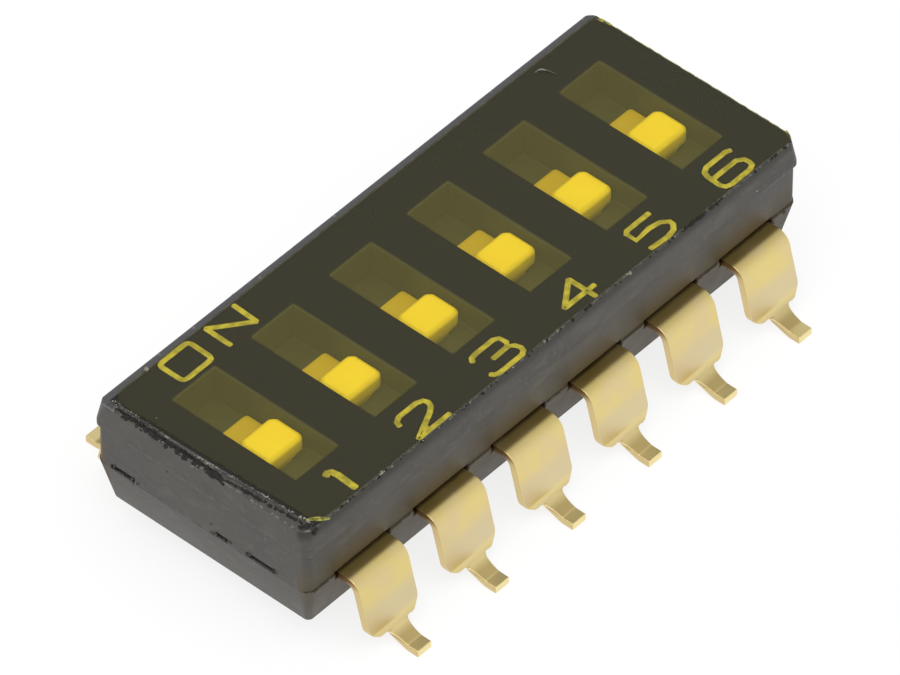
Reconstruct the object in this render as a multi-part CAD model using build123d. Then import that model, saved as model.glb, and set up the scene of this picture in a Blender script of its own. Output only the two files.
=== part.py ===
# Six-position slide DIP switch for surface mounting, with its sealing tape on.
#
# The switch stands on twelve gull-wing feet. +X runs along the row from position 1 to
# position 6, +Y points to the ON side and +Z is up. The origin lies on the board, under the
# middle of the row. All lengths are in millimetres, and the sliders are drawn at OFF.

import os

from build123d import *

os.makedirs("parts", exist_ok=True)

# Row of switches
positions = 6
pitch = 2.54

# Housing, base and cover together
stand_off = 0.68
base_height = 1.22
cover_height = 1.85
cover_width = 6.2
end_wall = 0.48
corner_cut = 0.14

# Base
base_lip = 0.03
base_draft = 0.26
base_corner_cut = 0.08
base_edge_break = 0.06
core_pin_width = 0.5
barrier_thickness = 0.2
barrier_height = 0.5
barrier_clearance = 0.03

# Narrow openings in the cover along the parting line of each end wall
end_slot_height = 0.14
end_slot_depth = 0.3
end_slot_shares = ((-0.345, -0.211), (-0.122, -0.066), (0.318, 0.426))

# Cover
rim_lip = 0.05
rim_height = 0.7
rim_slope_height = 0.62
rim_end_inset = 0.05
rim_side_inset = 0.12
rim_corner_cut = 0.16
end_groove_width = 0.1
end_groove_depth = 0.12
end_groove_edge = 0.05
end_groove_shares = (-0.08, 0.41)
window_length = 1.35
window_width = 3.6
window_draft = 0.04
window_depth = 0.9
step_depth = 0.62
window_floor = 0.25
chamber_wall = 0.5
chamber_margin = 0.39
chamber_corner = 0.15
lead_window_height = 0.08

# Sealing tape, laid a little off centre, with one end cut at a slant
tape_end_margin = 0.125
tape_side_margin = 0.17
tape_thickness = 0.06
tape_corner = 0.2
tape_shift_x = 0.1
tape_shift_y = -0.1
tape_slant = 0.2

# Terminals, stamped from strip and bent to gull wings
strip_thickness = 0.19
blade_width = 0.8
blade_overlap = 0.17
shoulder_width = 1.6
shoulder_seat = 0.35
shoulder_clearance = 0.1
shoulder_out = 0.46
shoulder_bottom = 0.36
shoulder_corner = 0.3
neck_width = 0.44
neck_fillet = 0.16
step_fill_share = 0.95
top_bend = 0.3
leg_splay = 0.38
foot_rise = 0.21
ramp_length = 0.62
foot_length = 0.31
foot_bend = 0.3

# Sliders: a knob and a tail on the window's floor, and a stem down through its guide slot
travel = 0.9
stop_gap = 0.05
floor_gap = 0.02
knob_length = 0.95
knob_clearance = 0.08
knob_depth = 0.13
knob_corner = 0.16
knob_back_corner = 0.14
knob_edge = 0.1
tail_length = 0.78
tail_drop = 0.54
tail_corner = 0.1
tail_edge = 0.04
heel_setback = 0.55
stem_width = 0.5
stem_length = 0.4
stem_inset = 0.03
stem_below = 0.1
stake_diameter = 0.26
stake_below = 0.05
stake_head = 0.4
guide_clearance = 0.03

# Moving contacts, bowed strips staked to the stems
contact_thickness = 0.1
contact_width = 0.9
contact_flat = 0.56
contact_reach = 0.85
contact_curl = 0.12
contact_curl_rise = 0.1
contact_bend = 0.12
contact_gap = 0.02

# Levels and places worked out from the sizes above
parting_z = stand_off + base_height
cover_top_z = parting_z + cover_height
window_floor_z = cover_top_z - window_depth
step_z = cover_top_z - step_depth
chamber_top_z = window_floor_z - window_floor
chamber_length = pitch - chamber_wall
cover_length = positions * pitch + 2 * end_wall
base_width = cover_width + 2 * base_lip
knob_width = window_length - 2 * knob_clearance
knob_top_z = cover_top_z - knob_depth
tail_top_z = knob_top_z - tail_drop
knob_bottom_z = step_z + floor_gap
tail_bottom_z = window_floor_z + floor_gap
stem_bottom_z = chamber_top_z - stem_below
tail_on_y = window_width / 2 - window_draft - stop_gap
knob_front_y = tail_on_y - travel - tail_length - knob_length
knob_back_y = knob_front_y + knob_length
tail_end_y = knob_back_y + tail_length
heel_y = knob_front_y + heel_setback
step_y = heel_y - stop_gap
stem_off_y = knob_front_y + stem_inset + stem_length / 2
stem_on_y = stem_off_y + travel
contact_end = contact_reach + contact_curl + contact_thickness / 2
chamber_width = 2 * (max(-stem_off_y, stem_on_y) + contact_end + chamber_margin)
front_blade_y = stem_off_y + contact_reach + blade_overlap
back_blade_y = stem_on_y + contact_reach - 2 * blade_overlap
shoulder_root = base_width / 2 - shoulder_seat
shoulder_reach = base_width / 2 + shoulder_out
ramp_start = shoulder_reach + leg_splay
foot_start = ramp_start + ramp_length
foot_tip = foot_start + foot_length
overrun = cover_height


def position_x(index):
    """Middle of one position along the row."""
    return (index - (positions - 1) / 2) * pitch


def block(length, width, bottom, top, cut=0, radius=0):
    """Upright block about the Z axis, with its four upright edges cut or rounded."""
    outline = Rectangle(length, width)
    if cut:
        outline = chamfer(outline.vertices(), cut)
    if radius:
        outline = fillet(outline.vertices(), radius)
    return Pos(0, 0, bottom) * extrude(outline, top - bottom)


def row(piece):
    """One copy of a piece at each position."""
    return [Pos(position_x(index), 0, 0) * piece for index in range(positions)]


def between(piece):
    """One copy of a piece midway between each two positions."""
    return [Pos(position_x(index) + pitch / 2, 0, 0) * piece for index in range(positions - 1)]


def lead_window(bottom, top):
    """Openings in both side walls where the shoulders of one position's terminals come out."""
    width = shoulder_width + 2 * shoulder_clearance
    tunnel = block(width, base_width + overrun, bottom, top)
    return tunnel - block(width, 2 * shoulder_root, bottom, top)


def tapered(length, width, low, high, end_inset, side_inset, low_cut, high_cut):
    """Block that narrows at its ends and sides, with its own corner cut at each level."""
    bottom = chamfer(Rectangle(length, width).vertices(), low_cut)
    top = Rectangle(length - 2 * end_inset, width - 2 * side_inset)
    top = chamfer(top.vertices(), high_cut)
    return loft([Pos(0, 0, low) * bottom, Pos(0, 0, high) * top])


def make_window():
    """Space of one window: drafted walls, a low floor on the ON side and a step before it."""
    floor = Rectangle(window_length - 2 * window_draft, window_width - 2 * window_draft)
    mouth = Rectangle(window_length, window_width)
    space = loft([Pos(0, 0, window_floor_z) * floor, Pos(0, 0, cover_top_z) * mouth])
    step = block(window_length, window_width, window_floor_z, step_z)
    return space - Pos(0, step_y - window_width / 2, 0) * step


def make_guide():
    """Slot in a window's floor that the slider's stem runs along."""
    length = stem_length + travel + 2 * stop_gap
    slot = block(stem_width + 2 * guide_clearance, length, chamber_top_z, step_z)
    return Pos(0, (stem_off_y + stem_on_y) / 2, 0) * slot


def make_cover():
    """Cover: six windows with slotted floors over six chambers, and a proud rim round the top."""
    rim_length = cover_length + 2 * rim_lip
    rim_width = cover_width + 2 * rim_lip
    slope_z = cover_top_z - rim_slope_height
    shell = block(cover_length, cover_width, parting_z, slope_z, cut=corner_cut)
    shell += block(rim_length, rim_width, cover_top_z - rim_height, slope_z, cut=corner_cut)
    shell += tapered(
        rim_length, rim_width, slope_z, cover_top_z,
        rim_end_inset, rim_side_inset, corner_cut, rim_corner_cut,
    )
    groove_start, groove_end = [share * rim_width for share in end_groove_shares]
    groove = block(
        end_groove_width, groove_end - groove_start, cover_top_z - end_groove_depth, cover_top_z
    )
    groove_x = rim_length / 2 - rim_end_inset - end_groove_edge - end_groove_width / 2
    shell -= Pos(-groove_x, (groove_start + groove_end) / 2, 0) * groove
    for end in (-1, 1):
        for low_share, high_share in end_slot_shares:
            width = (high_share - low_share) * cover_width
            middle = (high_share + low_share) / 2 * cover_width
            slot = block(2 * end_slot_depth, width, parting_z, parting_z + end_slot_height)
            shell -= Pos(end * cover_length / 2, -end * middle, 0) * slot

    chamber = block(chamber_length, chamber_width, parting_z, chamber_top_z, radius=chamber_corner)
    barrier_seat = block(
        barrier_thickness + 2 * barrier_clearance,
        chamber_width + 2 * barrier_clearance,
        parting_z,
        parting_z + barrier_height + barrier_clearance,
    )
    shell -= row(chamber)
    shell -= row(make_window())
    shell -= row(make_guide())
    shell -= row(lead_window(parting_z, parting_z + lead_window_height))
    shell -= between(barrier_seat)
    return shell


def strip_path(points, bends):
    """Middle line of a bent strip in the YZ plane, from its points and one radius a corner."""
    corners = [Vector(0, y, z) for y, z in points]
    return FilletPolyline(*corners, radius=bends)


def bent_strip(points, bends, width, thickness):
    """Strip of even width, bent along a path in the YZ plane."""
    path = strip_path(points, bends)
    section = Plane(origin=path @ 0, x_dir=(1, 0, 0), z_dir=path % 0) * Rectangle(width, thickness)
    return sweep(section, path=path)


def leg_outline():
    """Outline of a terminal's leg seen from the side: wide shoulder, rounded, on a narrow neck."""
    step = (shoulder_width - neck_width) / 2
    fit_share = min(1, step_fill_share * step / (shoulder_corner + neck_fillet))
    shoulder = Rectangle(shoulder_width, parting_z - shoulder_bottom, align=(Align.CENTER, Align.MIN))
    shoulder = fillet(shoulder.vertices().group_by(Axis.Y)[0], shoulder_corner * fit_share)
    neck = Rectangle(neck_width, shoulder_bottom + strip_thickness, align=(Align.CENTER, Align.MIN))
    outline = Pos(0, shoulder_bottom) * shoulder + neck
    notches = [
        outline.vertices().sort_by_distance((side * neck_width / 2, shoulder_bottom))[0]
        for side in (-1, 1)
    ]
    return fillet(notches, neck_fillet * fit_share)


def make_terminal(blade_y):
    """Terminal of the number side at X = 0: inner blade, shoulder, slanted leg, ramp and foot.

    The blade lies flush with the base's floor, from blade_y out to the wall.
    """
    half = strip_thickness / 2
    points = [
        (blade_y, parting_z - half),
        (-shoulder_reach, parting_z - half),
        (-ramp_start, half + foot_rise),
        (-foot_start, half),
        (-foot_tip, half),
    ]
    strip = bent_strip(points, [top_bend, foot_bend, foot_bend], shoulder_width, strip_thickness)
    inner = Pos(0, blade_y, 0) * block(blade_width, 2 * (blade_y + shoulder_root), 0, parting_z)
    outline = Plane.XZ.offset(shoulder_root) * leg_outline()
    outer = extrude(outline, foot_tip)
    return (strip & inner) + (strip & outer)


def make_base(terminals):
    """Base: drafted block with the terminals moulded in, and barriers between the positions."""
    body = tapered(
        cover_length, base_width, parting_z, stand_off,
        base_draft, base_draft, corner_cut, base_corner_cut,
    )
    body = chamfer(body.edges().group_by(Axis.Z)[0], base_edge_break)

    floor_of_lead = parting_z - strip_thickness
    body -= row(lead_window(floor_of_lead, parting_z))
    core_pin = block(core_pin_width, core_pin_width, 0, floor_of_lead)
    for middle in ((front_blade_y - shoulder_root) / 2, (back_blade_y + shoulder_root) / 2):
        body -= row(Pos(0, middle, 0) * core_pin)

    barrier = block(barrier_thickness, chamber_width, parting_z, parting_z + barrier_height)
    for rib in between(barrier):
        body += rib
    return body - terminals


def slider_profile():
    """Side of a slider at OFF: the knob overhangs the step, the tail runs along the low floor."""
    outline = Polyline(
        (knob_front_y, knob_bottom_z),
        (knob_front_y, knob_top_z),
        (knob_back_y, knob_top_z),
        (knob_back_y, tail_top_z),
        (tail_end_y, tail_top_z),
        (tail_end_y, tail_bottom_z),
        (heel_y, tail_bottom_z),
        (heel_y, knob_bottom_z),
        close=True,
    )
    return Plane.YZ * make_face(outline)


def make_slider():
    """Slider at OFF: knob and tail in the window, stem through its floor, staked at the end."""
    body = extrude(slider_profile(), knob_width / 2, both=True)
    body = fillet(body.edges().filter_by(Axis.Z).group_by(Axis.Y)[0], knob_corner)
    body = fillet(body.edges().filter_by(Axis.Z).group_by(Axis.Y)[-1], tail_corner)
    back = body.edges().filter_by(Axis.Z).filter_by_position(Axis.Y, knob_back_y, knob_back_y)
    body = chamfer(back, knob_back_corner)
    body = chamfer(body.edges().group_by(Axis.Z)[-1], knob_edge)
    body = chamfer(body.faces().sort_by(Axis.Y)[-1].edges().group_by(Axis.Z)[-1], tail_edge)
    stem = block(stem_width, stem_length, stem_bottom_z, knob_bottom_z)
    stake = extrude(Circle(stake_diameter / 2), contact_thickness)
    head = extrude(Circle(stake_head / 2), -stake_below)
    stem += Pos(0, 0, stem_bottom_z - contact_thickness) * (stake + head)
    return body + Pos(0, stem_off_y, 0) * stem


def make_contact():
    """Moving contact at OFF: a flat middle staked to the stem, and two tips over the blades."""
    half = contact_thickness / 2
    tip_z = parting_z + contact_gap + half
    flat_z = stem_bottom_z - half
    arm = [
        (contact_flat / 2, flat_z),
        (contact_reach, tip_z),
        (contact_reach + contact_curl, tip_z + contact_curl_rise),
    ]
    points = [(-y, z) for y, z in reversed(arm)] + arm
    strip = bent_strip(points, contact_bend, contact_width, contact_thickness)
    hole = extrude(Circle(stake_diameter / 2), stem_bottom_z)
    return Pos(0, stem_off_y, 0) * (strip - hole)


def make_tape():
    """Sealing tape laid over the windows, its end by position 1 cut a little out of square."""
    half_length = cover_length / 2 - tape_end_margin
    half_width = cover_width / 2 - tape_side_margin
    outline = Polyline(
        (-half_length, half_width),
        (tape_slant - half_length, -half_width),
        (half_length, -half_width),
        (half_length, half_width),
        close=True,
    )
    face = make_face(outline)
    sheet = extrude(chamfer(face.vertices(), tape_corner), tape_thickness)
    return Pos(tape_shift_x, tape_shift_y, cover_top_z) * sheet


front_terminals = row(make_terminal(front_blade_y))
back_terminals = [
    mirror(terminal, about=Plane.XZ) for terminal in row(make_terminal(-back_blade_y))
]
sliders = row(make_slider())
contacts = row(make_contact())

nodes = {
    "cover": make_cover(),
    "base": make_base(front_terminals + back_terminals),
    "seal_tape": make_tape(),
}
for index in range(positions):
    number = index + 1
    nodes[f"slider_{number}"] = sliders[index]
    nodes[f"moving_contact_{number}"] = contacts[index]
    nodes[f"terminal_front_{number}"] = front_terminals[index]
    nodes[f"terminal_back_{number}"] = back_terminals[index]

for name, shape in nodes.items():
    export_step(shape, f"parts/{name}.step")
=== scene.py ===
# Looks of a six-position slide DIP switch with its amber sealing tape on.
#
# The imported CAD nodes keep their shapes and get their finishes here. Housing, terminals, sliders
# and tape are shown by softened copies, and printed marks, crumbs on the torn edges, painted shade in
# their crevices and dust are modelled on top.
# Lengths are in millimetres. Each piece is modelled at that scale and resized to metres at its end.

import math
import random

import bpy
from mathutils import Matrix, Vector


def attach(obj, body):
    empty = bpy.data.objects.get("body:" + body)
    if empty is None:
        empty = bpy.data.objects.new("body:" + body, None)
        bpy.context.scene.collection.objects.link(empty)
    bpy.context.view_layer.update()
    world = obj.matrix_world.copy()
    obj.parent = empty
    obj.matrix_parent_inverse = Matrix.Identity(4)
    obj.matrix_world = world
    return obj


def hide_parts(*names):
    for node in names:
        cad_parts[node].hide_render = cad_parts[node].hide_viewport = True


# One millimetre in metres, and the main lengths of the switch in millimetres
MM = 0.001
PITCH = 2.54
POSITIONS = range(1, 7)
COVER_TOP = 3.75
TAPE_TOP = 3.81
TAPE_BACK = 2.83
TAPE_END = -7.85
TAPE_SLANT = 0.025
WINDOW_HALF_WIDTH = 0.675
WINDOW_HALF_LENGTH = 1.8
WINDOW_BLUR = 0.035
NUMBER_RIM = -3.035
SLOT_WALL = -8.1

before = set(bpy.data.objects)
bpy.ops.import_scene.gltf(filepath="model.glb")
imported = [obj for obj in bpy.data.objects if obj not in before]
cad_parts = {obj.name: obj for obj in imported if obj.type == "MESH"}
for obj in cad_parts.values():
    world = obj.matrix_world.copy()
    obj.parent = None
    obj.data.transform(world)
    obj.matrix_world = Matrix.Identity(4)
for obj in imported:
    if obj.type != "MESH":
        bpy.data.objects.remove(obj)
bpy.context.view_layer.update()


def linear(code):
    """Linear colour, with alpha, from an sRGB hex code."""
    parts = [int(code[i : i + 2], 16) / 255 for i in (1, 3, 5)]
    return [c / 12.92 if c <= 0.04045 else ((c + 0.055) / 1.055) ** 2.4 for c in parts] + [1]


def add(tree, kind, values=None, links=None, **settings):
    """Adds one node, with its settings, the values of its inputs and the sockets linked to them."""
    made = tree.nodes.new(kind)
    for name, value in settings.items():
        setattr(made, name, value)
    for name, value in (values or {}).items():
        made.inputs[name].default_value = value
    for name, socket in (links or {}).items():
        tree.links.new(socket, made.inputs[name])
    return made


def calc(tree, operation, *terms):
    """Result of one sum, whose terms are numbers or sockets."""
    values = {i: term for i, term in enumerate(terms) if isinstance(term, (int, float))}
    links = {i: term for i, term in enumerate(terms) if i not in values}
    return add(tree, "ShaderNodeMath", values, links, operation=operation).outputs[0]


def times(tree, *shares):
    """Product of some shares."""
    result = shares[0]
    for share in shares[1:]:
        result = calc(tree, "MULTIPLY", result, share)
    return result


def ramp(tree, value, start, end, low=0.0, high=1.0):
    """Share that runs smoothly from low to high while a value runs from start to end."""
    limits = {"From Min": start, "From Max": end, "To Min": low, "To Max": high}
    made = add(tree, "ShaderNodeMapRange", limits, {"Value": value}, interpolation_type="SMOOTHSTEP")
    return made.outputs[0]


def ramp_mm(tree, length, start, end, low=0.0, high=1.0):
    """Share that runs smoothly from low to high between two places in millimetres."""
    return ramp(tree, length, start * MM, end * MM, low, high)


def blend(tree, share, first, second):
    """Colour between two, each an sRGB hex code or a socket."""
    ends = {6: first, 7: second}
    values = {i: linear(end) for i, end in ends.items() if isinstance(end, str)}
    links = {i: end for i, end in ends.items() if i not in values}
    return add(tree, "ShaderNodeMix", values, {0: share, **links}, data_type="RGBA").outputs[2]


def noise(tree, place, size, detail=3):
    """Noise from 0 to 1 with features of a size in millimetres."""
    values = {"Scale": 1 / (size * MM), "Detail": detail}
    return add(tree, "ShaderNodeTexNoise", values, {"Vector": place}).outputs["Fac"]


def axes_of(tree, vector):
    """X, Y and Z of a vector."""
    return add(tree, "ShaderNodeSeparateXYZ", links={0: vector}).outputs


def new_material(name):
    """Empty material: itself, its node tree, its output and its place in metres."""
    material = bpy.data.materials.new(name)
    material.use_nodes = True
    tree = material.node_tree
    tree.nodes.clear()
    output = add(tree, "ShaderNodeOutputMaterial").inputs["Surface"]
    return material, tree, output, add(tree, "ShaderNodeTexCoord").outputs["Object"]


def principled(tree, output, values, links):
    """Ends a material in one principled shader."""
    shader = add(tree, "ShaderNodeBsdfPrincipled", values, links)
    tree.links.new(shader.outputs[0], output)


# Moulded black PBT: a dull dark grey with paler flow streaks along the row, its edges rubbed and
# torn where the tape was trimmed, and a deep even black where the tape's adhesive wets it. Painted
# light on top: a warm glow from the gold leads on the long walls around them, with painted shade in
# the gaps between the leads, the floor's light on the lower base, painted shade on the front rim and
# inside the windows, and a painted bluish sheen on the back rim.
def moulded_black_pbt():
    material, tree, output, place = new_material("moulded_black_pbt")
    x, y, z = axes_of(tree, place)
    aside = calc(tree, "ABSOLUTE", y)

    stretched = add(tree, "ShaderNodeVectorMath", {1: (0.35, 0.7, 1)}, {0: place}, operation="MULTIPLY")
    cloud = noise(tree, place, 1.3, 5)
    streak = noise(tree, stretched.outputs[0], 0.4, 4)
    fleck = noise(tree, place, 0.14, 3)
    tone = blend(tree, ramp(tree, cloud, 0.3, 0.7), "#3b3834", "#4a4742")
    tone = blend(tree, ramp(tree, streak, 0.52, 0.75, 0, 0.4), tone, "#5f5c56")
    tone = blend(tree, ramp(tree, fleck, 0.55, 0.75, 0, 0.4), tone, "#5a5751")
    # Painted light: the base lighter towards the bottom, where the white floor bounces light onto it.
    tone = blend(tree, ramp_mm(tree, z, 1.9, 0.7, 0, 0.4), tone, "#625f59")

    # Painted light: a warm glow reflected from the gold leads on the long walls around them, with painted
    # shade making it darker in the gaps between the leads.
    from_gap = calc(tree, "PINGPONG", x, PITCH / 2 * MM)
    lead_glow_tone = blend(tree, ramp_mm(tree, from_gap, 0.3, 0.6), "#40361f", "#4f432a")
    long_side = calc(tree, "GREATER_THAN", aside, 2.8 * MM)
    near_leads = times(tree, ramp_mm(tree, z, 2.9, 2.0, 0, 0.85), ramp_mm(tree, z, 0.9, 1.6, 0.5, 1))
    tone = blend(tree, times(tree, long_side, near_leads), tone, lead_glow_tone)
    # Painted shade on the upper front rim, under the tape's edge, and a painted bluish sheen on the upper
    # back rim.
    upper_rim = times(tree, long_side, ramp_mm(tree, z, 3.4, 3.65, 0, 0.85))
    rim_shade_and_sheen = blend(tree, calc(tree, "GREATER_THAN", y, 0), "#1f1d15", "#48484c")
    tone = blend(tree, upper_rim, tone, rim_shade_and_sheen)

    bevel = add(tree, "ShaderNodeBevel", {"Radius": 0.08 * MM}, samples=6).outputs[0]
    flat = add(tree, "ShaderNodeNewGeometry").outputs["Normal"]
    turn = add(tree, "ShaderNodeVectorMath", links={0: bevel, 1: flat}, operation="DOT_PRODUCT")
    rubbed = times(
        tree, ramp(tree, turn.outputs["Value"], 0.995, 0.85), ramp(tree, fleck, 0.45, 0.62),
        ramp_mm(tree, z, 3.2, 3.6, 0.3, 1),
    )
    tone = blend(tree, rubbed, tone, "#85837d")

    tape_end = calc(tree, "MULTIPLY_ADD", y, -TAPE_SLANT, TAPE_END * MM)
    wetted = times(
        tree, calc(tree, "GREATER_THAN", z, (COVER_TOP - 0.002) * MM),
        calc(tree, "GREATER_THAN", x, tape_end), calc(tree, "LESS_THAN", y, TAPE_BACK * MM),
    )
    tone = blend(tree, wetted, tone, "#313131")
    # Painted shade: the faces inside the windows, below the wetted top, darker.
    painted_shade_inside = calc(tree, "LESS_THAN", aside, 2.2 * MM)
    between_ends = calc(tree, "LESS_THAN", calc(tree, "ABSOLUTE", x), 7.6 * MM)
    below = calc(tree, "SUBTRACT", 1, wetted)
    colour = blend(tree, times(tree, painted_shade_inside, between_ends, below), tone, "#1e1e1c")

    grain = noise(tree, place, 0.12)
    bump = add(
        tree, "ShaderNodeBump", {"Distance": 0.03 * MM},
        {"Height": grain, "Strength": times(tree, below, 0.4), "Normal": bevel},
    )
    principled(
        tree, output, {"IOR": 1.5},
        {"Base Color": colour, "Roughness": ramp(tree, cloud, 0, 1, 0.4, 0.64), "Normal": bump.outputs[0],
         "Specular IOR Level": times(tree, below, 0.5)},
    )
    return material


# Amber polyimide film: clear and yellow where its adhesive wets the cover, milky where it bridges
# the open windows, with a soft gloss on its upper face and a ragged pale edge where it was cut.
def amber_polyimide_film():
    material, tree, output, place = new_material("amber_polyimide_film")
    x, y, _ = axes_of(tree, place)
    from_wall = calc(tree, "PINGPONG", x, PITCH / 2 * MM)
    side = PITCH / 2 - WINDOW_HALF_WIDTH
    along = ramp_mm(tree, from_wall, side - WINDOW_BLUR, side + WINDOW_BLUR)
    aside = calc(tree, "ABSOLUTE", y)
    across = ramp_mm(tree, aside, WINDOW_HALF_LENGTH + WINDOW_BLUR, WINDOW_HALF_LENGTH - WINDOW_BLUR)
    window = times(tree, along, across)
    rim = times(tree, window, calc(tree, "SUBTRACT", 1, window), 0.1)
    milk = calc(tree, "MULTIPLY_ADD", window, 0.043, rim)

    clear = add(tree, "ShaderNodeBsdfTransparent", {"Color": linear("#fdfbe3")})
    haze = add(tree, "ShaderNodeBsdfDiffuse", {"Color": linear("#e2d868")})
    film = add(tree, "ShaderNodeMixShader", links={0: milk, 1: clear.outputs[0], 2: haze.outputs[0]})
    facing = add(tree, "ShaderNodeNewGeometry")
    upper = calc(tree, "SUBTRACT", 1, facing.outputs["Backfacing"])
    mirror = add(tree, "ShaderNodeFresnel", {"IOR": 1.45})
    gloss = add(tree, "ShaderNodeBsdfGlossy", {"Roughness": 0.18})
    surface = add(
        tree, "ShaderNodeMixShader",
        links={0: times(tree, mirror.outputs[0], upper), 1: film.outputs[0], 2: gloss.outputs[0]},
    )

    normal = axes_of(tree, facing.outputs["Normal"])
    ragged = ramp(tree, noise(tree, place, 0.2), 0.35, 0.65, 0.1, 0.8)
    pale = times(tree, ramp(tree, calc(tree, "ABSOLUTE", normal["Z"]), 0.6, 0.4), ragged)
    edge = add(tree, "ShaderNodeBsdfDiffuse", {"Color": linear("#5b5a48")})
    whole = add(tree, "ShaderNodeMixShader", links={0: pale, 1: surface.outputs[0], 2: edge.outputs[0]})
    tree.links.new(whole.outputs[0], output)
    return material


# Lit film: a lifted bit of the tape with light behind it, a bright greenish yellow.
def lit_polyimide_film():
    material, tree, output, place = new_material("lit_polyimide_film")
    patch = noise(tree, place, 0.15)
    tone = blend(tree, patch, "#7d7b28", "#cfcd60")
    principled(
        tree, output, {"Roughness": 0.5},
        {"Base Color": tone, "Alpha": ramp(tree, patch, 0.35, 0.6, 0.1, 0.85)},
    )
    return material


# Moulded yellow nylon: an even, slightly waxy yellow with a satin skin, with painted shade making it
# duller down in the window.
def moulded_yellow_nylon():
    material, tree, output, place = new_material("moulded_yellow_nylon")
    z = axes_of(tree, place)["Z"]
    cloud = noise(tree, place, 0.5)
    tone = blend(tree, cloud, "#f9d805", "#ffe412")
    # Painted shade: darker yellow low in the window, below the top of the knob.
    colour = blend(tree, ramp_mm(tree, z, 3.15, 3.45), "#d3b408", tone)
    bump = add(tree, "ShaderNodeBump", {"Strength": 0.15, "Distance": 0.02 * MM}, {"Height": cloud})
    principled(
        tree, output, {"IOR": 1.53, "Roughness": 0.45},
        {"Base Color": colour, "Normal": bump.outputs[0]},
    )
    return material


# Gold-plated phosphor bronze strip: pale, softly mirroring gold, yellow at its lower edge, duller on
# the sheared sides, and browned on them where it leaves the housing. Painted on top: a paler, greyer
# reflection of the white floor low on the leg, darker and brighter reflections on the foot, and the
# housing wall's dark reflection with its shade on the top where the lead leaves the housing.
def gold_plated_bronze():
    material, tree, output, place = new_material("gold_plated_bronze")
    _, y, z = axes_of(tree, place)
    normal = axes_of(tree, add(tree, "ShaderNodeNewGeometry").outputs["Normal"])
    cloud = noise(tree, place, 0.9)
    plate = blend(tree, ramp(tree, cloud, 0.35, 0.7), "#e4d088", "#dfcb98")
    # Painted reflection of the white floor: a paler, greyer band low on the leg.
    floor_reflection_band = times(tree, ramp_mm(tree, z, 0.33, 0.6), ramp_mm(tree, z, 1.35, 0.9))
    plate = blend(tree, times(tree, floor_reflection_band, 0.8), plate, "#d8c8a2")
    plate = blend(tree, ramp_mm(tree, z, 0.6, 0.4), plate, "#e3d096")
    outward = calc(tree, "ABSOLUTE", y)
    # Painted reflections on the foot: darker on its slope, brighter on its flat end.
    foot_slope_reflection = times(tree, ramp_mm(tree, outward, 4.12, 4.4), ramp_mm(tree, outward, 4.69, 4.55))
    plate = blend(tree, foot_slope_reflection, plate, "#bea970")
    plate = blend(tree, ramp_mm(tree, outward, 4.55, 4.69), plate, "#f4e2a4")

    sheared = ramp(tree, calc(tree, "ABSOLUTE", normal["X"]), 0.6, 0.9)
    plate = blend(tree, sheared, plate, "#d6bf88")
    root = ramp_mm(tree, z, 1.62, 1.85, 0, 0.8)
    plate = blend(tree, times(tree, sheared, root), plate, "#8b5f3e")
    # Painted shade and the housing wall's painted dark reflection on the top of the lead where it leaves
    # the housing.
    wall_reflection_shade = times(
        tree, ramp(tree, normal["Z"], 0.5, 0.9), ramp_mm(tree, z, 1.7, 1.8),
        ramp_mm(tree, outward, 3.7, 3.25, 0, 0.6),
    )
    colour = blend(tree, wall_reflection_shade, plate, "#8a7438")
    principled(
        tree, output, {"Metallic": 1.0},
        {"Base Color": colour, "Roughness": ramp(tree, cloud, 0, 1, 0.28, 0.42)},
    )
    return material


# Pad-printed ink: a thin uneven coat that looks a dull yellow through the tape.
def pad_printed_ink():
    material, tree, output, place = new_material("pad_printed_ink")
    coat = ramp(tree, noise(tree, place, 0.2), 0.3, 0.7)
    tone = blend(tree, coat, "#958d36", "#c8be4c")
    principled(tree, output, {"Roughness": 0.6}, {"Base Color": tone})
    return material


# Crumbs and dust: torn bits of the housing and fibres, pale because they scatter light.
def torn_pbt_crumb():
    material, tree, output, place = new_material("torn_pbt_crumb")
    patch = ramp(tree, noise(tree, place, 0.3, 2), 0.35, 0.7)
    tone = blend(tree, patch, "#4a4944", "#96948a")
    principled(tree, output, {"Roughness": 0.8}, {"Base Color": tone})
    return material


# Crevice shade: a dull soot black put on torn bits as painted shade, where the tape's edge shades the
# crevice in the housing.
def crevice_shade_black():
    material, tree, output, place = new_material("crevice_shade_black")
    tone = blend(tree, noise(tree, place, 0.2), "#100f0f", "#2b2a28")
    principled(tree, output, {"Roughness": 0.95}, {"Base Color": tone})
    return material


black_pbt = moulded_black_pbt()
film = amber_polyimide_film()
lit_film = lit_polyimide_film()
yellow_nylon = moulded_yellow_nylon()
gold = gold_plated_bronze()
ink = pad_printed_ink()
crumb = torn_pbt_crumb()
crevice_shade = crevice_shade_black()

finishes = {
    "cover": black_pbt,
    "base": black_pbt,
    "seal_tape": film,
    "slider": yellow_nylon,
    "moving": gold,
    "terminal": gold,
}
for name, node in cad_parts.items():
    finish = next(finishes[start] for start in finishes if name.startswith(start))
    node.data.materials.clear()
    node.data.materials.append(finish)


def put_on(piece, body, finish):
    """Gives a finished piece its material and its body."""
    piece.data.materials.clear()
    piece.data.materials.append(finish)
    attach(piece, body)


def start_piece(name, data):
    """New object that is the only one selected, ready for the operators."""
    bpy.ops.object.select_all(action="DESELECT")
    piece = bpy.data.objects.new(name, data)
    bpy.context.collection.objects.link(piece)
    bpy.context.view_layer.objects.active = piece
    piece.select_set(True)
    return piece


def resize(piece, factor):
    """Scales a piece about the origin and keeps the change in its mesh."""
    piece.scale = (factor, factor, factor)
    bpy.ops.object.transform_apply(location=False, rotation=False, scale=True)


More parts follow.
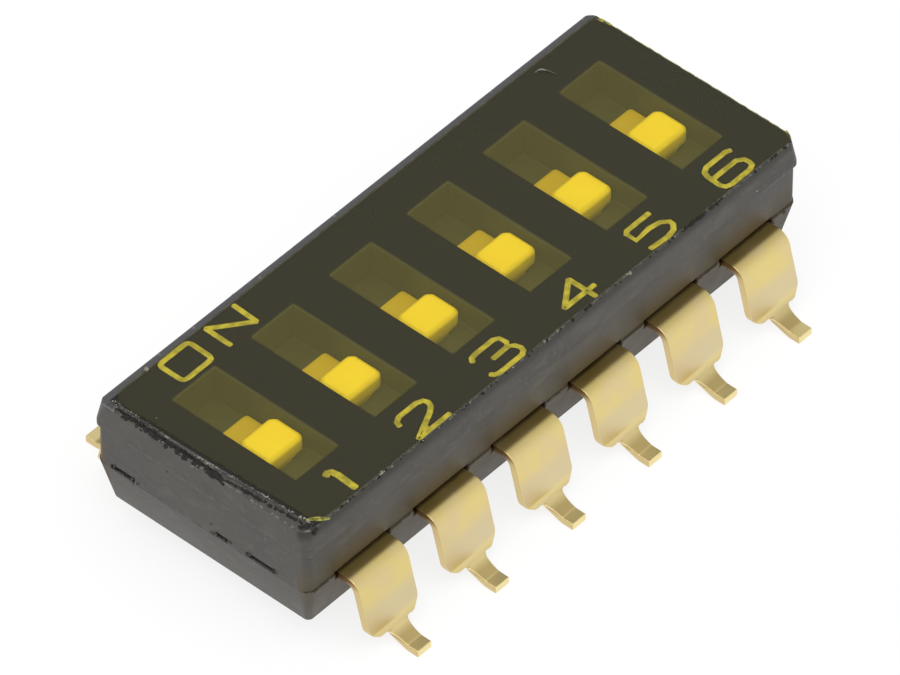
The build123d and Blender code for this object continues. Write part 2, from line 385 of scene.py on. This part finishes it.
def merged_copy(node, name):
    """Copy of a CAD node's mesh in millimetres, its triangles joined and its flats cleaned."""
    piece = start_piece(name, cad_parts[node].data.copy())
    bpy.ops.mesh.customdata_custom_splitnormals_clear()
    resize(piece, 1 / MM)
    bpy.ops.object.mode_set(mode="EDIT")
    bpy.ops.mesh.select_all(action="SELECT")
    bpy.ops.mesh.remove_doubles(threshold=0.001)
    bpy.ops.mesh.dissolve_limited(angle_limit=math.radians(1))
    bpy.ops.object.mode_set(mode="OBJECT")
    return piece


def join_up(pieces, name):
    """One piece from several that were only placed so far."""
    bpy.ops.object.select_all(action="DESELECT")
    for piece in pieces:
        piece.select_set(True)
    bpy.context.view_layer.objects.active = pieces[0]
    bpy.ops.object.transform_apply(location=True, rotation=True, scale=True)
    bpy.ops.object.join()
    pieces[0].name = name
    resize(pieces[0], MM)
    return pieces[0]


def apply(piece, kind, **settings):
    """Adds one modifier with its settings and applies it."""
    made = piece.modifiers.new(kind.lower(), kind)
    for name, value in settings.items():
        setattr(made, name, value)
    bpy.ops.object.modifier_apply(modifier=made.name)


def rounded_outside(node, is_outer, radius):
    """Copy of one half of the housing with the picked outer edges rounded."""
    shell = merged_copy(node, f"{node}_moulded")
    bpy.ops.object.mode_set(mode="EDIT")
    bpy.ops.mesh.select_mode(type="EDGE")
    bpy.ops.mesh.select_all(action="DESELECT")
    bpy.ops.object.mode_set(mode="OBJECT")
    for edge in shell.data.edges:
        edge.select = is_outer(*[shell.data.vertices[i].co for i in edge.vertices])
    bpy.ops.object.mode_set(mode="EDIT")
    bpy.ops.mesh.bevel(offset=radius, segments=3)
    bpy.ops.object.mode_set(mode="OBJECT")
    bpy.ops.object.shade_smooth_by_angle(angle=math.radians(35))
    apply(shell, "WEIGHTED_NORMAL", weight=100, keep_sharp=True)
    resize(shell, MM)
    put_on(shell, "housing", black_pbt)
    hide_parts(node)


def at_corner(low, high):
    """Whether an edge runs up one of the four corners."""
    upright = abs(high.z - low.z) > 0.5 * (high - low).length
    return upright and all(abs(end.x) > 7.6 and abs(end.y) > 2.6 for end in (low, high))


def on_rim(low, high):
    """Whether an edge runs along the bare rim, on the side where the tape stops short."""
    return all(end.z > 3.7 and end.y > 3.0 for end in (low, high))


# Housing: corners and rim as soft as the moulding tool and the trimming left them
rounded_outside("cover", lambda low, high: at_corner(low, high) or on_rim(low, high), 0.06)
rounded_outside("base", at_corner, 0.045)

# Terminals: the stamped strip with eased edges and smooth bends
for side in ("front", "back"):
    for number in POSITIONS:
        node = f"terminal_{side}_{number}"
        lead = merged_copy(node, f"{node}_plated")
        apply(
            lead, "BEVEL", width=0.022, segments=2, limit_method="ANGLE", angle_limit=math.radians(50),
            use_clamp_overlap=False,
        )
        bpy.ops.object.shade_smooth_by_angle(angle=math.radians(40))
        apply(lead, "WEIGHTED_NORMAL", weight=100, keep_sharp=True)
        resize(lead, MM)
        put_on(lead, "housing", gold)
        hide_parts(node)

# Sliders: moulded with soft edges all round
for number in POSITIONS:
    node = f"slider_{number}"
    slider = merged_copy(node, f"{node}_moulded")
    apply(slider, "REMESH", mode="VOXEL", voxel_size=0.03)
    apply(slider, "SMOOTH", factor=0.5, iterations=9)
    resize(slider, MM)
    bpy.ops.object.shade_smooth()
    put_on(slider, f"actuator_{number}", yellow_nylon)
    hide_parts(node)

# Tape: its lower face kept off the cover by the thickness of the print under it
tape = merged_copy("seal_tape", "seal_tape_film")
bpy.ops.object.mode_set(mode="EDIT")
bpy.ops.mesh.select_all(action="SELECT")
bpy.ops.transform.resize(value=(1, 1, 0.87), center_override=(0, 0, TAPE_TOP))
bpy.ops.object.mode_set(mode="OBJECT")
resize(tape, MM)
put_on(tape, "housing", film)
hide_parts("seal_tape")

# Printed marks: the strokes of each character, as points along the middle of the line
STROKE_WIDTH = 0.14
INK_THICKNESS = 0.006
HEAVIER = {"mark_1": 1.3}
marks = {
    "mark_O": [
        [(-5.95, 2.76), (-6.33, 2.76), (-6.4, 2.73), (-6.43, 2.66), (-6.43, 2.12), (-6.39, 2.04),
         (-6.3, 2.015), (-5.62, 2.015), (-5.53, 2.04), (-5.49, 2.12), (-5.48, 2.66), (-5.51, 2.73),
         (-5.58, 2.76), (-5.95, 2.76)],
    ],
    "mark_N": [
        [(-4.94, 2.0), (-4.93, 2.74)],
        [(-4.93, 2.74), (-4.03, 2.06)],
        [(-4.03, 2.06), (-4.0, 2.77)],
    ],
    "mark_1": [
        [(-6.5, -2.19), (-6.41, -2.15), (-6.33, -2.2), (-6.3, -2.36), (-6.33, -2.9)],
    ],
    "mark_2": [
        [(-4.33, -2.38), (-4.29, -2.26), (-4.14, -2.185), (-3.58, -2.185), (-3.42, -2.25), (-3.38, -2.36),
         (-3.43, -2.48), (-3.6, -2.6), (-4.0, -2.78), (-4.34, -2.94)],
        [(-4.34, -2.94), (-3.33, -2.94)],
        [(-4.22, -2.9), (-3.95, -2.82)],
    ],
    "mark_3": [
        [(-1.84, -2.28), (-1.77, -2.19), (-1.62, -2.16), (-1.04, -2.16), (-0.91, -2.23), (-0.89, -2.42),
         (-0.97, -2.52), (-0.85, -2.62), (-0.8, -2.76), (-0.84, -2.87), (-0.95, -2.93), (-1.7, -2.93),
         (-1.82, -2.88), (-1.86, -2.81)],
        [(-1.46, -2.54), (-0.97, -2.53)],
    ],
    "mark_4": [
        [(1.46, -2.95), (1.45, -2.17)],
        [(1.45, -2.17), (0.72, -2.69)],
        [(0.72, -2.69), (1.7, -2.7)],
    ],
    "mark_5": [
        [(4.16, -2.14), (3.42, -2.14), (3.34, -2.2), (3.34, -2.49), (3.8, -2.45), (4.12, -2.51),
         (4.27, -2.65), (4.26, -2.76), (4.14, -2.88), (3.9, -2.93), (3.36, -2.89)],
    ],
    "mark_6": [
        [(6.84, -2.2), (6.74, -2.15), (6.08, -2.15), (5.93, -2.23), (5.88, -2.36), (5.86, -2.74),
         (5.91, -2.86), (6.04, -2.91), (6.68, -2.91), (6.82, -2.85), (6.85, -2.74), (6.83, -2.61),
         (6.68, -2.5), (5.92, -2.5)],
    ],
}


def with_round_ends(points):
    """Points of one stroke with their widths, carried on at both ends to round them off."""
    steps = ((0.5, 1.0), (0.8, 0.8), (0.97, 0.45), (1.0, 0.1))
    half = STROKE_WIDTH / 2

    def beyond(tip, inner):
        reach = math.dist(tip, inner)
        lead = [(tip[i] - inner[i]) / reach * half for i in (0, 1)]
        return [(tip[0] + lead[0] * (s - 0.5), tip[1] + lead[1] * (s - 0.5), width) for s, width in steps]

    first = beyond(points[0], points[1])
    last = beyond(points[-1], points[-2])
    return first[::-1] + [(x, y, 1.0) for x, y in points[1:-1]] + last


def lay_line(line, course, height):
    """Adds one run of straight steps to a curve, through points with their widths."""
    spline = line.splines.new("POLY")
    spline.points.add(len(course) - 1)
    for point, (x, y, width) in zip(spline.points, course):
        point.co = (x, y, height, 1)
        point.radius = width


def print_mark(name, strokes, weight=1.0):
    """One printed character: flat strokes of even width with rounded ends."""
    line = bpy.data.curves.new(name, "CURVE")
    line.dimensions = "3D"
    line.bevel_depth = weight * STROKE_WIDTH / 2
    line.bevel_resolution = 3
    line.use_fill_caps = True
    for points in strokes:
        lay_line(line, with_round_ends(points), 0)
    start_piece(name, line)
    bpy.ops.object.convert(target="MESH")
    mark = bpy.context.object
    mark.scale.z = INK_THICKNESS / STROKE_WIDTH
    mark.location.z = COVER_TOP
    bpy.ops.object.transform_apply(location=True, rotation=True, scale=True)
    resize(mark, MM)
    bpy.ops.object.shade_smooth()
    put_on(mark, "housing", ink)


for name, strokes in marks.items():
    print_mark(name, strokes, HEAVIER.get(name, 1.0))


# Crumbs along the trimmed edges and specks of dust, each a squashed, dented bit of its own
def scatter(name, places, seed, finish):
    """One piece made of small dented bits at the given places, each with its own size in millimetres."""
    chance = random.Random(seed)
    bpy.ops.object.select_all(action="DESELECT")
    bpy.ops.mesh.primitive_ico_sphere_add(subdivisions=2, radius=0.5)
    model = bpy.context.object
    bpy.ops.object.mode_set(mode="EDIT")
    bpy.ops.mesh.select_all(action="SELECT")
    bpy.ops.transform.vertex_random(offset=0.16, seed=seed)
    bpy.ops.object.mode_set(mode="OBJECT")
    bits = []
    for place, size in places:
        bit = bpy.data.objects.new(name, model.data.copy())
        bit.scale = [size * chance.uniform(0.6, 1.3) for _ in range(3)]
        bit.rotation_euler = [chance.uniform(0, 6.28) for _ in range(3)]
        bit.location = place
        bpy.context.collection.objects.link(bit)
        bits.append(bit)
    bpy.data.objects.remove(model)
    put_on(join_up(bits, name), "housing", finish)


def along_edge(start, end, count, spread, sizes, chance):
    """Places strewn along an edge, with a size for each."""
    places = []
    for _ in range(count):
        share = chance.random()
        place = [a + (b - a) * share + chance.uniform(-s, s) for a, b, s in zip(start, end, spread)]
        places.append((place, chance.uniform(*sizes)))
    return places


chance = random.Random(12)


def strewn(rows):
    """Places along several edges, one after the other."""
    return [bit for row in rows for bit in along_edge(*row, chance)]


# Pale crumbs. Each row has a start, an end, the number of bits, how far they stray and their sizes.
crumb_rows = [
    ((-7.9, 2.75, 3.78), (-7.94, 0.4, 3.78), 120, (0.025, 0, 0.02), (0.018, 0.05)),
    ((-7.94, 0.4, 3.78), (-7.77, -2.95, 3.78), 150, (0.02, 0, 0.02), (0.018, 0.05)),
    ((-7.8, NUMBER_RIM, 3.74), (7.9, NUMBER_RIM, 3.74), 44, (0, 0.012, 0.015), (0.02, 0.05)),
]
for middle in (-5.5, -3.1, -0.3, 0.25, 2.3):
    start = (middle - 0.2, NUMBER_RIM, 3.745)
    end = (middle + 0.2, NUMBER_RIM, 3.745)
    crumb_rows.append((start, end, 6, (0, 0.02, 0.015), (0.03, 0.08)))
crumb_rows.append(((-7.8, 2.95, 3.74), (7.9, 2.95, 3.74), 60, (0, 0.06, 0.01), (0.02, 0.05)))
scatter("edge_crumbs", strewn(crumb_rows), 3, crumb)

# Painted shade: dark bits in the torn crevice under the tape's edge, at the end by position 1, round its
# corner and along the numbers
crevice_shade_rows = [
    ((-8.03, 2.4, 3.73), (-8.05, -0.7, 3.72), 190, (0.05, 0, 0.03), (0.05, 0.13)),
    ((-8.02, -0.7, 3.74), (-7.88, -2.8, 3.74), 90, (0.03, 0, 0.015), (0.04, 0.09)),
    ((-8.0, -2.8, 3.7), (-7.75, -3.03, 3.69), 26, (0.05, 0.05, 0.04), (0.05, 0.14)),
    ((4.3, -3.04, 3.73), (5.5, -3.04, 3.73), 40, (0, 0.015, 0.02), (0.04, 0.1)),
    ((-7.0, -3.04, 3.73), (7.8, -3.04, 3.73), 60, (0, 0.012, 0.02), (0.03, 0.08)),
]
scatter("edge_crevice_shade", strewn(crevice_shade_rows), 7, crevice_shade)

# Burrs round the slots in the end wall
burr_rows = []
for middle in (-2.139, -1.3082, -0.7564, -0.4092, 1.9716, 2.3064, 2.6412):
    start = (SLOT_WALL, middle - 0.12, 2.0)
    end = (SLOT_WALL, middle + 0.12, 1.94)
    burr_rows.append((start, end, 4, (0.01, 0, 0.05), (0.03, 0.09)))
scatter("slot_burrs", strewn(burr_rows), 9, black_pbt)

# Specks of dust, each with its place and size
dust = [
    ((-8.1, 1.02, 2.92), 0.06),
    ((-8.07, 2.05, 1.77), 0.07),
    ((-8.1, -0.27, 2.16), 0.07),
    ((-8.12, 0.21, 3.66), 0.08),
    ((-7.69, 1.66, 3.81), 0.07),
    ((-6.71, 2.86, 3.77), 0.09),
    ((7.67, -3.13, 1.8), 0.07),
    ((7.27, -3.13, 1.79), 0.1),
    ((-4.5, -3.13, 1.84), 0.09),
    ((6.67, -3.12, 3.22), 0.05),
]
scatter("dust_specks", dust, 5, crumb)

# Hair on the tape near the ON side
hair = bpy.data.curves.new("dust_hair", "CURVE")
hair.dimensions = "3D"
hair.bevel_depth = 0.016
course = ((5.77, 2.6, 1), (5.86, 2.61, 1), (5.95, 2.57, 1), (6.01, 2.42, 1), (6.05, 2.22, 1))
lay_line(hair, course, TAPE_TOP + 0.01)
start_piece("dust_hair", hair)
bpy.ops.object.convert(target="MESH")
resize(bpy.context.object, MM)
put_on(bpy.context.object, "housing", crumb)

# Lifted tips of the tape at three corners, bright where light comes through them
tips = (
    ((8.05, 2.58, 3.79), (0.5, 0.09), -82),
    ((-7.58, -2.94, 3.79), (0.55, 0.13), -45),
    ((8.04, -2.86, 3.79), (0.34, 0.08), 60),
)
corners = []
for place, (length, width), turn in tips:
    bpy.ops.object.select_all(action="DESELECT")
    bpy.ops.mesh.primitive_cone_add(vertices=9, radius1=0.5, radius2=0.4, depth=0.02, location=place)
    corner = bpy.context.object
    corner.scale = (length, width, 1)
    corner.rotation_euler.z = math.radians(turn)
    corners.append(corner)
put_on(join_up(corners, "tape_tips"), "housing", lit_film)


# Stage: a white floor that keeps a soft shadow, a sky brighter in front and one wide lamp overhead
def white_floor():
    material, tree, output, _ = new_material("white_paper_sweep")
    path = add(tree, "ShaderNodeLightPath").outputs
    mirrored = calc(tree, "MAXIMUM", path["Is Glossy Ray"], path["Is Transmission Ray"])
    share = calc(tree, "MAXIMUM", mirrored, times(tree, path["Is Camera Ray"], 0.8))
    paper = add(tree, "ShaderNodeBsdfDiffuse", {"Color": linear("#f4f4f4")})
    glow = add(tree, "ShaderNodeEmission", {"Color": (1, 1, 1, 1), "Strength": 1.02})
    shader = add(tree, "ShaderNodeMixShader", links={0: share, 1: paper.outputs[0], 2: glow.outputs[0]})
    tree.links.new(shader.outputs[0], output)
    return material


bpy.ops.object.select_all(action="DESELECT")
bpy.ops.mesh.primitive_plane_add(size=0.8)
floor = bpy.context.object
floor.name = "floor"
floor.data.materials.append(white_floor())

sky = bpy.data.worlds.new("open_front_sky")
sky.use_nodes = True
bright_side = add(
    sky.node_tree, "ShaderNodeVectorMath", {1: (-0.55, -0.83, 0)},
    {0: add(sky.node_tree, "ShaderNodeTexCoord").outputs["Generated"]}, operation="DOT_PRODUCT",
)
background = sky.node_tree.nodes["Background"]
background.inputs["Color"].default_value = linear("#ffffff")
sky.node_tree.links.new(
    ramp(sky.node_tree, bright_side.outputs["Value"], -0.2, 0.5, 0.6, 1.0), background.inputs["Strength"]
)
bpy.context.scene.world = sky

LAMP_PLACE = Vector((-0.03, -0.02, 0.15))
bpy.ops.object.light_add(type="AREA", location=LAMP_PLACE)
lamp = bpy.context.object
lamp.name = "overhead_lamp"
lamp.data.shape = "DISK"
lamp.data.size = 0.2
lamp.data.energy = 0.13
lamp.rotation_euler = LAMP_PLACE.to_track_quat("Z", "Y").to_euler()

# Camera, fitted to the corners of the six windows in the photograph
AZIMUTH = math.radians(-48.411)
ELEVATION = math.radians(45.502)
DISTANCE = 262.474
SHIFT_RIGHT = -0.0066
SHIFT_UP = -1.5247
right = Vector((math.cos(AZIMUTH), math.sin(AZIMUTH), 0))
ahead = Vector((
    -math.sin(AZIMUTH) * math.cos(ELEVATION),
    math.cos(AZIMUTH) * math.cos(ELEVATION),
    -math.sin(ELEVATION),
))
up = right.cross(ahead)
stand = right * SHIFT_RIGHT + up * SHIFT_UP - ahead * DISTANCE + Vector((0, 0, COVER_TOP))
bpy.ops.object.camera_add(location=stand * MM, rotation=(math.pi / 2 - ELEVATION, 0, AZIMUTH))
camera = bpy.context.object
camera.data.sensor_width = 36
camera.data.lens = 480
camera.data.clip_start = 0.01
bpy.context.scene.camera = camera

bpy.context.scene.view_settings.view_transform = "Standard"
